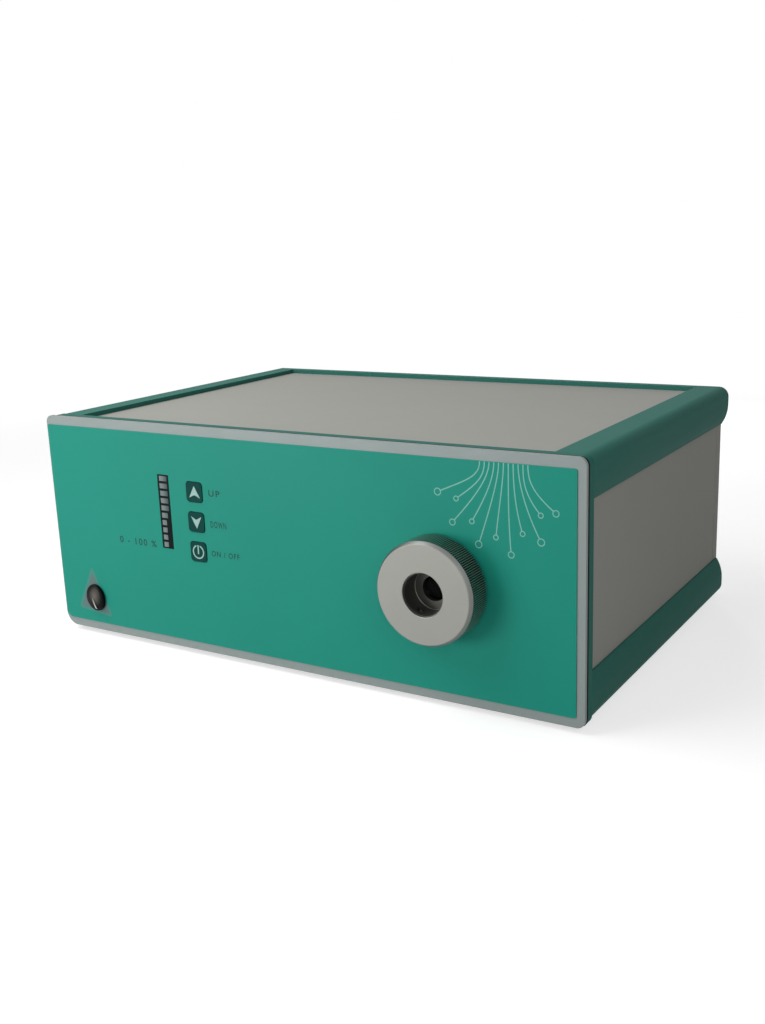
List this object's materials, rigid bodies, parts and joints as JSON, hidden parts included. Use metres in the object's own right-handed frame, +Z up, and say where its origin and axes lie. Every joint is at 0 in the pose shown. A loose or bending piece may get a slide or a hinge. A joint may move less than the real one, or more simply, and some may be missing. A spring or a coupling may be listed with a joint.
{
  "type": "fiber optic illuminator",
  "caption": "Bench light source in a low metal case with a knurled light guide port, level bar, keys, selector knob, rear mains inlet and fan.",
  "frame": {"origin": "centre of the bounding box in plan, on the surface that the feet stand on", "axes": "+X to the right seen from the front, -Y out of the front panel, +Z up"},
  "size_m": [0.319, 0.2378, 0.125],
  "materials": {
    "bare_aluminium": "satin brushed",
    "green_overlay": "fine textured polyester overlay",
    "green_casting": "satin powder coat",
    "green_rail": "satin powder coat",
    "grey_panel": "fine textured powder coat",
    "zinc_steel": "zinc plated",
    "zinc_sheet": "zinc plated sheet",
    "foot_rubber": "matt black",
    "collar_metal": "turned and straight knurled",
    "socket_metal": "turned",
    "pin_steel": "polished",
    "black_metal": "black anodised",
    "lens_glass": "polished",
    "led_board_white": "white solder mask on metal core board",
    "led_yellow": "phosphor under silicone",
    "sink_metal": "extruded",
    "black_plastic": "moulded",
    "guard_wire": "plated wire",
    "key_green": "textured key cap",
    "board_green": "solder mask",
    "level_black": "smooth",
    "level_lens": "unlit diffuser",
    "knob_black": "smooth",
    "part_black": "moulded components",
    "pin_brass": "plated contacts",
    "fuse_glass": "cartridge",
    "rocker_black": "moulded",
    "wire_grey": "sleeved wires"
  },
  "bodies": {
    "case": {"front_plate": "bare_aluminium", "front_foil": "green_overlay", "front_frame": "green_casting", "corner_screws": "zinc_steel", "port_screws": "zinc_steel", "short_screws": "zinc_steel", "long_screws": "zinc_steel", "board_posts": "zinc_steel", "top_left_rail": "green_rail", "top_right_rail": "green_rail", "bottom_left_rail": "green_rail", "bottom_right_rail": "green_rail", "rear_top_bar": "green_rail", "rear_bottom_bar": "green_rail", "top_panel": "grey_panel", "bottom_panel": "grey_panel", "left_panel": "grey_panel", "right_panel": "grey_panel", "rear_plate": "grey_panel", "rubber_feet": "foot_rubber", "guide_socket": "socket_metal", "collar_ring": "pin_steel", "lens_tube": "black_metal", "lens_spacer": "black_metal", "lens_keeper": "black_metal", "front_lens": "lens_glass", "rear_lens": "lens_glass", "led_holder": "black_metal", "led_board": "led_board_white", "led_emitter": "led_yellow", "heat_sink": "sink_metal", "heat_sink_bracket": "zinc_sheet", "fan_frame": "black_plastic", "fan_guard": "guard_wire", "key_switches": "black_plastic", "display_board": "board_green", "level_housing": "level_black", "level_segments": "level_lens", "selector_switch": "zinc_sheet", "selector_nut": "zinc_steel", "driver_board": "board_green", "driver_parts": "part_black", "power_board": "board_green", "power_parts": "part_black", "mains_inlet": "black_plastic", "inlet_pins": "pin_brass", "rocker_housing": "black_plastic", "mains_wire": "wire_grey", "low_voltage_wires": "wire_grey"},
    "collar": {"guide_collar": "collar_metal"},
    "lock": {"lock_pin": "pin_steel"},
    "up_button": {"up_key": "key_green"},
    "down_button": {"down_key": "key_green"},
    "power_button": {"power_key": "key_green"},
    "selector": {"selector_knob": "knob_black", "selector_shaft": "pin_steel"},
    "fan_wheel": {"fan_rotor": "black_plastic"},
    "rocker": {"power_rocker": "rocker_black"},
    "drawer": {"fuse_drawer": "black_plastic", "fuse_link": "fuse_glass"}
  },
  "joints": [
    {"name": "collar_turn", "type": "hinge", "parent": "case", "child": "collar", "pos_m": [0.0885, -0.11015, 0.06], "axis": [0, 1, 0], "range_deg": [0, 60]},
    {"name": "lock_slide", "type": "slide", "parent": "case", "child": "lock", "axis": [0.4067, 0, 0.9135], "range_m": [0, 0.0008]},
    {"name": "up_press", "type": "slide", "parent": "case", "child": "up_button", "axis": [0, 1, 0], "range_m": [0, 0.0005], "stiffness_N_per_m": 1000, "springref_m": -0.0002},
    {"name": "down_press", "type": "slide", "parent": "case", "child": "down_button", "axis": [0, 1, 0], "range_m": [0, 0.0005], "stiffness_N_per_m": 1000, "springref_m": -0.0002},
    {"name": "power_press", "type": "slide", "parent": "case", "child": "power_button", "axis": [0, 1, 0], "range_m": [0, 0.0005], "stiffness_N_per_m": 1000, "springref_m": -0.0002},
    {"name": "selector_turn", "type": "hinge", "parent": "case", "child": "selector", "pos_m": [-0.1333, -0.10515, 0.0225], "axis": [0, 1, 0], "range_deg": [-45, 45]},
    {"name": "fan_spin", "type": "hinge", "parent": "case", "child": "fan_wheel", "pos_m": [0.0885, 0.09785, 0.06], "axis": [0, 1, 0], "continuous": true},
    {"name": "rocker_tilt", "type": "hinge", "parent": "case", "child": "rocker", "pos_m": [-0.108, 0.11085, 0.099], "axis": [-1, 0, 0], "range_deg": [0, 20]},
    {"name": "drawer_slide", "type": "slide", "parent": "case", "child": "drawer", "axis": [0, 1, 0], "range_m": [0, 0.02]}
  ],
  "couplings": [
    {"joint": "lock_slide", "follows": "collar_turn", "m_per_rad": 0.00075439}
  ]
}
